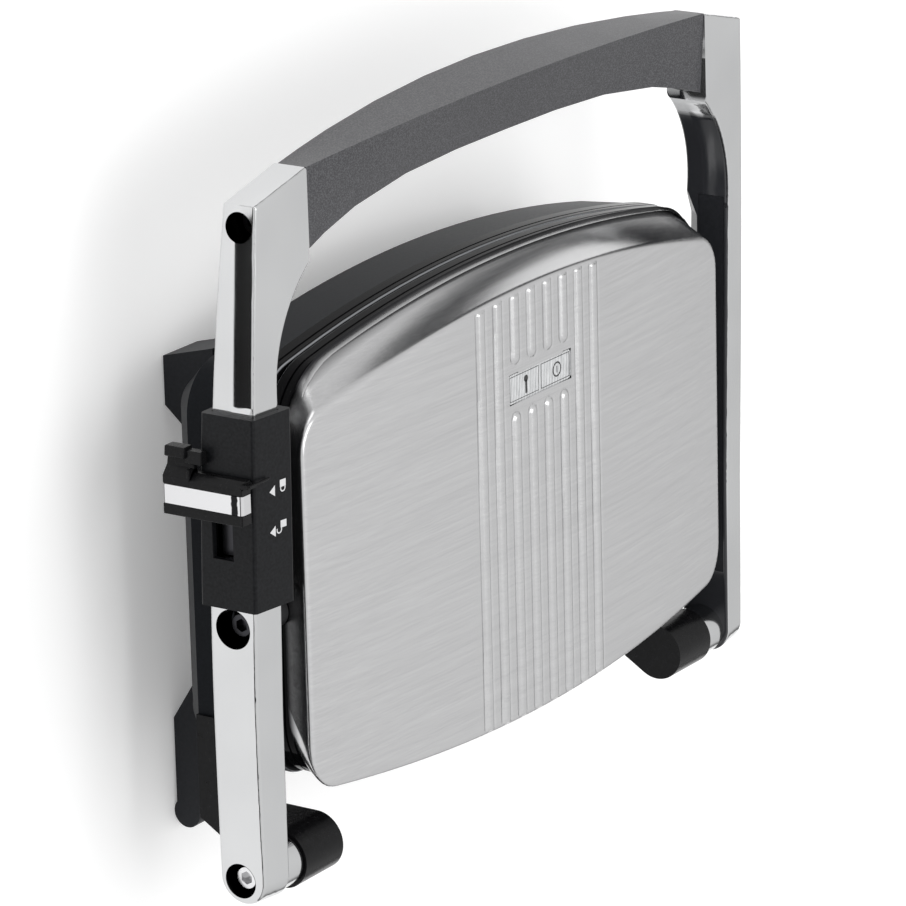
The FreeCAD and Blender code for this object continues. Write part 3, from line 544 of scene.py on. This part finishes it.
# --- lamp window ---
# A fluted lens sits in the hole over a silvered holder with two lamps. Its finish is opaque and
# silvery, as the holder makes it look, and two frames, a power mark and a thermometer mark are
# printed on its face.
silvered = finish_named("silvered_holder")
silvered.set(Base_Color=silvered.blend(silvered.grain(300.0), (0.70, 0.71, 0.72, 1),
                                       (0.85, 0.86, 0.87, 1)), Metallic=0.7,
             Roughness=silvered.grain(90.0) * 0.15 + 0.2)
give(silvered, "lamp_holder")
amber = finish_named("lamp_glass")
amber.set(Base_Color=amber.blend(amber.grain(200.0), (0.55, 0.20, 0.10, 1), (0.70, 0.34, 0.2, 1)),
          Roughness=0.12)
give(amber, "indicator_lamps")
lens_finish = finish_named("fluted_acrylic")
flutes = lens_finish.node("Math", {"operation": "SINE"}, {0: lens_finish.axis("X") * 5200.0})
frost = lens_finish.grain(700.0, 3.0, (1, 0.25, 1))
# painted shade and painted highlight: dark and light stripes along the flutes in the lens's colour
lens_finish.set(Base_Color=lens_finish.blend((flutes * 0.35 + frost).limit(),
                                             (0.42, 0.43, 0.44, 1), (0.93, 0.94, 0.95, 1)),
                Metallic=0.35, Roughness=frost * 0.25 + 0.06, IOR=1.49,
                Normal=lens_finish.bump(flutes * 0.5 + frost * 0.6, 0.25 * mm, 0.8),
                Coat_Weight=1.0, Coat_Roughness=0.03)
dressed("window_lens", "indicator_lens", "lid", lens_finish, 30.0)
lens_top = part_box("indicator_lens")[1].z


def flat_mark(name, body, finish, shapes, height):
    """Thin printed shapes. Each is (outline points, hole points or None), in metres."""
    print_work = bmesh.new()
    for ring, gap in shapes:
        outer_loop = [print_work.verts.new((x, y, 0)) for x, y in ring]
        if gap is None:
            print_work.faces.new(outer_loop)
            continue
        inner_loop = [print_work.verts.new((x, y, 0)) for x, y in gap]
        edges = [print_work.edges.new((loop_verts[k], loop_verts[k - 1]))
                 for loop_verts in (outer_loop, inner_loop) for k in range(len(loop_verts))]
        bmesh.ops.bridge_loops(print_work, edges=edges)
    bmesh.ops.triangulate(print_work, faces=print_work.faces)
    for vert in print_work.verts:
        vert.co.z = height(vert.co.x, vert.co.y)
    bmesh.ops.recalc_face_normals(print_work, faces=print_work.faces)
    for face in print_work.faces:
        if face.normal.z < 0:
            face.normal_flip()
    piece = object_from(name, print_work, finish)
    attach(piece, body)


def ring_of(x, y, radius, count=28, start=0.0, sweep=360.0):
    """Points along a circle, or along an arc of it whose two ends are both kept."""
    steps_round = count if sweep == 360.0 else count - 1
    turns = [math.radians(start + sweep * k / steps_round) for k in range(count)]
    return [(x + radius * math.cos(turn), y + radius * math.sin(turn)) for turn in turns]


def bar(x0, x1, y0, y1):
    return [(x0, y0), (x1, y0), (x1, y1), (x0, y1)]


ink = finish_named("black_print")
ink.set(Base_Color=ink.blend(ink.grain(500.0), (0.008, 0.008, 0.008, 1), (0.02, 0.02, 0.02, 1)),
        Roughness=ink.grain(200.0) * 0.1 + 0.35)
power_x, heat_x = -13.2 * mm, 10.5 * mm
marks = []
for x0, x1 in ((-22.8, -0.8), (0.8, 22.8)):
    marks.append((bar(x0 * mm, x1 * mm, window_y - 5.4 * mm, window_y + 5.4 * mm),
                  bar((x0 + 0.3) * mm, (x1 - 0.3) * mm, window_y - 5.1 * mm,
                      window_y + 5.1 * mm)))
marks += [
    (ring_of(power_x, window_y, 3.3 * mm), ring_of(power_x, window_y, 2.6 * mm)),
    (bar(power_x - 0.32 * mm, power_x + 0.32 * mm, window_y - 1.5 * mm, window_y + 1.5 * mm), None),
    (ring_of(heat_x, window_y - 2.2 * mm, 1.5 * mm), None),
    (bar(heat_x - 0.75 * mm, heat_x + 0.75 * mm, window_y - 1.4 * mm, window_y + 3.6 * mm), None),
    (ring_of(heat_x, window_y + 3.6 * mm, 0.75 * mm, 14, 0.0, 180.0), None)]
flat_mark("window_marks", "lid", ink, marks, lambda x, y: lens_top + 0.03 * mm)


# --- cast arms ---
# Each arm is one aluminium casting, ground and polished to a soft gleam. The outer face has a
# shoulder along its upper half that mirrors the dark horizon, from the grip back to the lock.
# Painted shade blackens the screw pockets and the length inside the lock's sleeve; the inner faces
# are dark and not metallic.
polished = finish_named("polished_casting")
fine_scratch = polished.grain(1.0, 4.0, (900.0, 26.0, 900.0), 0.6)
broad = polished.grain(16.0, 2.0)
along = polished.axis("Y")
high = polished.axis("Z")
facing = polished.node("SeparateXYZ", values={"Vector": polished.node("TexCoord", out=1)}, out=0)
shoulder_front, sleeve_end, neck_y = hinge_y - 0.292, hinge_y - 0.1975, hinge_y - 0.243
cover_front, cover_back = hinge_y - 0.195, hinge_y - 0.118
forward = ((hinge_y - 0.07) - along).most(0.0)
shoulder_at = forward * forward * 0.055 + forward * 0.012 + (hinge_z + 0.0005)
ahead = ((sleeve_end - along) * 400.0).limit()
outward = ((abs(facing) - 0.7) * 8.0).limit()
above = (high - shoulder_at).most(0.0)
fading = ((along - shoulder_front) * 45.0).limit()
shoulder = above * above / (above + 0.0028) * ahead * outward * fading * -0.46
# painted shade: the arm goes black along the length inside the lock's sleeve
painted_sleeve_shade = (((along - cover_front) * 900.0).limit() * ((cover_back - along) * 900.0).limit()
              * (polished.axis("X") > 0.1))


def pocket(reach, height, radius):
    """One inside a screw pocket that runs across the arm, zero outside it."""
    away = ((along - (hinge_y - reach)) ** 2.0 + (high - (hinge_z + height)) ** 2.0) ** 0.5
    return away < radius


painted_recess_shade = painted_sleeve_shade
# painted shade in the pockets of the pivot, grip and hinge screws
for reach, height, radius in ((0.1075, 0.0016, 0.0083), (0.272, 0.0086, 0.0063),
                              (0.0, 0.0, 0.0074)):
    painted_recess_shade = painted_recess_shade.most(pocket(reach, height, radius))
bright = polished.blend(broad, (0.50, 0.505, 0.51, 1), (0.68, 0.685, 0.69, 1))
inward = (((facing * polished.axis("X") * -5.6) - 0.35) * 6.0).limit() * (
    ((along - neck_y) * 400.0).limit())
lined = polished.blend(inward, bright, (0.030, 0.031, 0.035, 1))
# near black painted shade over the screw pockets and under the sleeve
polished.set(Base_Color=polished.blend(painted_recess_shade, lined, (0.004, 0.004, 0.004, 1)),
             Metallic=1.0 - inward,
             Roughness=(fine_scratch - 0.5) * 0.08 + (broad - 0.5) * 0.06 + 0.13,
             Normal=polished.bump(shoulder + fine_scratch * 0.000002 + broad * 0.00030, 1.0))
dressed("cast_arm_right", "arm_right", "handle", polished, 28.0)
dressed("cast_arm_left", "arm_left", "handle", polished, 28.0)
give(dull_steel, "grip_plugs")
liner_grey = moulded("arm_liner_grey", (0.020, 0.021, 0.024), 0.38, 700.0)
give(liner_grey, "arm_liner_right", "arm_liner_left")


# --- grip ---
# Two nylon mouldings closed round steel end plugs, dark grey with a fine metallic speckle and a
# soft sheen. The parting line runs along the underside.
grip_grey = finish_named("grip_speckled_grey")
speck = grip_grey.grain(1500.0, 2.0)
fleck = grip_grey.grain(2600.0, 1.0)
wear = grip_grey.grain(14.0, 3.0)
glints = ((speck - 0.50) * 5.0 + (fleck - 0.5) * 2.0 + 0.35).limit()
grip_grey.set(Base_Color=grip_grey.blend(glints, (0.026, 0.026, 0.030, 1),
                                         (0.085, 0.085, 0.092, 1)),
              Specular_IOR_Level=0.4,
              Roughness=(speck - 0.5) * 0.2 + (wear - 0.5) * 0.08 + 0.36,
              Normal=grip_grey.bump(speck, 0.00006, 0.6))
dressed("grip_top", "grip_upper", "handle", grip_grey, 25.0, 0.0016)
dressed("grip_base", "grip_lower", "handle", grip_grey, 25.0, 0.0010)


# --- lock sleeve ---
# A black nylon sleeve clipped round the right arm, with the slider's slot in its outer face.
# Two arrows and two padlocks, closed and open, are printed on its upper face.
sleeve_black = moulded("sleeve_black", (0.006, 0.0063, 0.0072), 0.36, 800.0, 0.00005, 0.5)
dressed("lock_sleeve", "lock_housing", "handle", sleeve_black, 30.0)
white_print = finish_named("white_print")
white_print.set(Base_Color=white_print.blend(white_print.grain(500.0), (0.62, 0.62, 0.63, 1),
                                             (0.72, 0.72, 0.73, 1)),
                Roughness=white_print.grain(200.0) * 0.1 + 0.4)
sleeve_skin = bmesh.new()
sleeve_skin.from_mesh(nodes["lock_housing"].data)


def holds(face, x, y):
    """True where a point lies inside a triangle seen from above."""
    a, b, c = [v.co for v in face.verts[:3]]
    signs = [(q.x - p.x) * (y - p.y) - (q.y - p.y) * (x - p.x) for p, q in ((a, b), (b, c), (c, a))]
    return min(signs) >= -1e-12 or max(signs) <= 1e-12


def sleeve_top(x, y):
    """Height of the sleeve's upper face, just proud of it."""
    best = None
    for face in sleeve_skin.faces:
        if face.normal.z > 0.5 and holds(face, x, y):
            at = face.verts[0].co
            z = at.z - (face.normal.x * (x - at.x) + face.normal.y * (y - at.y)) / face.normal.z
            best = z if best is None else max(best, z)
    return (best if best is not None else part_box("lock_housing")[1].z) + 0.06 * mm


def lock_marks(y, shut):
    """An arrow towards the slider and a padlock with its shackle home or swung out."""
    x = 173.2 * mm
    arrow = [(x + 7.6 * mm, y), (x + 4.4 * mm, y - 2.3 * mm), (x + 4.4 * mm, y + 2.3 * mm)]
    body_y = y - 1.7 * mm
    shapes = [(arrow, None), (bar(x - 1.9 * mm, x + 1.5 * mm, body_y - 1.9 * mm, body_y + 1.1 * mm),
                              None)]
    shackle_x = x - 0.2 * mm if shut else x + 2.3 * mm
    wide = ring_of(shackle_x, body_y + 1.7 * mm, 1.55 * mm, 12, 0.0, 180.0)
    thin = ring_of(shackle_x, body_y + 1.7 * mm, 1.0 * mm, 12, 180.0, -180.0)
    shapes.append((wide + thin, None))
    for edge_x in (-1.55, 1.0):
        shapes.append((bar(shackle_x + edge_x * mm, shackle_x + (edge_x + 0.55) * mm,
                           body_y + 1.0 * mm, body_y + 1.75 * mm), None))
    return shapes


flat_mark("lock_marks", "handle", white_print,
          lock_marks(hinge_y - 165.0 * mm, True) + lock_marks(hinge_y - 148.2 * mm, False),
          sleeve_top)
sleeve_skin.free()


# --- slider ---
# The lock's thumb slider is one black acetal moulding: a block with a thumb lip, a neck in the
# sleeve's slot and a hook under the arm. A bright strip let into it wraps the corner.
slider_black = moulded("slider_black", (0.006, 0.006, 0.0065), 0.26, 500.0, 0.00001, 0.15)


def prism(work, plan, low, high):
    """An upright block, in mm: plan points (x, y) and its low and high z, from the hinge axis."""
    rings = [[work.verts.new((x * mm, hinge_y + y * mm, hinge_z + z * mm)) for x, y in plan]
             for z in (low, high)]
    work.faces.new(rings[0])
    work.faces.new(rings[1])
    for k in range(len(plan)):
        work.faces.new((rings[0][k - 1], rings[0][k], rings[1][k], rings[1][k - 1]))


thumb = bmesh.new()
inner_x, outer_x, band_front = 190.2, 196.6, -167.0
for plan, low_z, high_z in (
        # the front: a sloping upper part, and a hollow below it for the thumb
        ([(inner_x, -172.6), (192.8, -172.4), (outer_x, -169.4), (outer_x, band_front),
          (inner_x, band_front)], -11.0, 15.0),
        ([(inner_x, -178.6), (192.6, -178.6), (193.2, -174.5), (outer_x, -170.6),
          (outer_x, band_front), (inner_x, band_front)], -23.4, -10.4),
        # the lip ahead of the hollow, a step above it, and the ledge over the hollow
        ([(inner_x, -182.8), (195.8, -182.8), (196.3, -178.6), (193.0, -177.4),
          (inner_x, -177.4)], -22.4, -12.8),
        (bar(inner_x, 194.6, -181.6, -176.0), -13.4, -5.6),
        (bar(inner_x, 196.4, -174.2, -169.0), -12.0, -10.4),
        # the bed for the bright strip, and the block behind it
        (bar(inner_x, 196.0, -167.4, -158.8), -23.4, 14.3),
        (bar(inner_x, outer_x, -159.1, -154.5), -23.5, 15.0),
        # the fin over the sleeve, on its root
        (bar(182.0, 196.0, -172.0, -170.9), 17.5, 18.6),
        (bar(inner_x, 196.4, -172.0, -170.0), 14.0, 18.0),
        # the neck in the slot, and the hook under the arm
        (bar(184.8, 191.2, -169.5, -157.5), -4.5, 4.5),
        (bar(168.0, 191.2, -169.0, -155.5), -20.5, -14.0)):
    prism(thumb, plan, low_z, high_z)
bmesh.ops.recalc_face_normals(thumb, faces=thumb.faces)
bmesh.ops.bevel(thumb, geom=thumb.edges[:], offset=0.45 * mm, offset_type="OFFSET", segments=2,
                profile=0.5, affect="EDGES", material=-1, clamp_overlap=True)
for face in thumb.faces:
    face.smooth = True
thumb_slider = object_from("thumb_slider", thumb, slider_black)
thumb_even = thumb_slider.modifiers.new("even shading", "WEIGHTED_NORMAL")
thumb_even.weight = 80
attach(thumb_slider, "slider")
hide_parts("lock_slider")
mirror_trim = metal("mirror_trim", (0.66, 0.66, 0.67), 0.07, wear=0.25)
along_trim = mirror_trim.axis("Z") + mirror_trim.grain(420.0) * 0.0012
# painted reflection: the strip is near black on its band 10.2 to 13.6 mm above the hinge, where it
# turns away
painted_dark_reflection = (((along_trim - (hinge_z + 10.2 * mm)) * 2500.0).limit()
               * (((hinge_z + 13.6 * mm) - along_trim) * 2500.0).limit())
mirror_trim.set(Base_Color=mirror_trim.blend(painted_dark_reflection, (0.68, 0.68, 0.69, 1),
                                             (0.015, 0.015, 0.016, 1)))
dressed("slider_strip", "slider_trim", "slider", mirror_trim, 30.0)


# --- feet, lugs and small hardware ---
# Feet and lugs are mouldings: the feet stand on rubber pads, and each lug carries a brass bush
# for the hinge screw. The pivot and grip screws are coloured dark as painted shade in their
# pockets, and the other screws are bright steel.
foot_grey = moulded("foot_grey", (0.018, 0.019, 0.022), 0.42, 700.0)
dressed("front_foot_pair", "front_feet", "base", foot_grey, 35.0)
dressed("rear_foot_pair", "rear_feet", "base", foot_grey, 35.0)
pad_rubber = moulded("pad_rubber", (0.018, 0.018, 0.018), 0.7, 500.0, 0.00008, 0.2)
give(pad_rubber, "foot_pads", "cord_gland")
lug_black = moulded("lug_black", (0.005, 0.005, 0.0055), 0.26, 420.0, 0.00006, 0.3)
dressed("lug_right", "hinge_lug_right", "base", lug_black, 35.0)
dressed("lug_left", "hinge_lug_left", "base", lug_black, 35.0)
black_nylon = moulded("black_nylon", (0.02, 0.02, 0.021), 0.4, 500.0)
give(black_nylon, "hinge_washers", "pivot_bushes", "terminal_block", "lock_catch")
brass = metal("brass_bush", (0.72, 0.55, 0.27), 0.28, scale=200.0)
give(brass, "hinge_bushes")
give(bright_steel, "lug_screws", "base_screws", "cover_screws")
dressed("hinge_bolts", "hinge_screws", "base", bright_steel, 30.0)
# the pivot and grip screws are dark as painted shade in their pockets
dressed("pivot_bolts", "pivot_screws", "lid", blued_steel_and_pocket_shade, 30.0)
dressed("grip_bolts", "grip_screws", "handle", blued_steel_and_pocket_shade, 30.0)
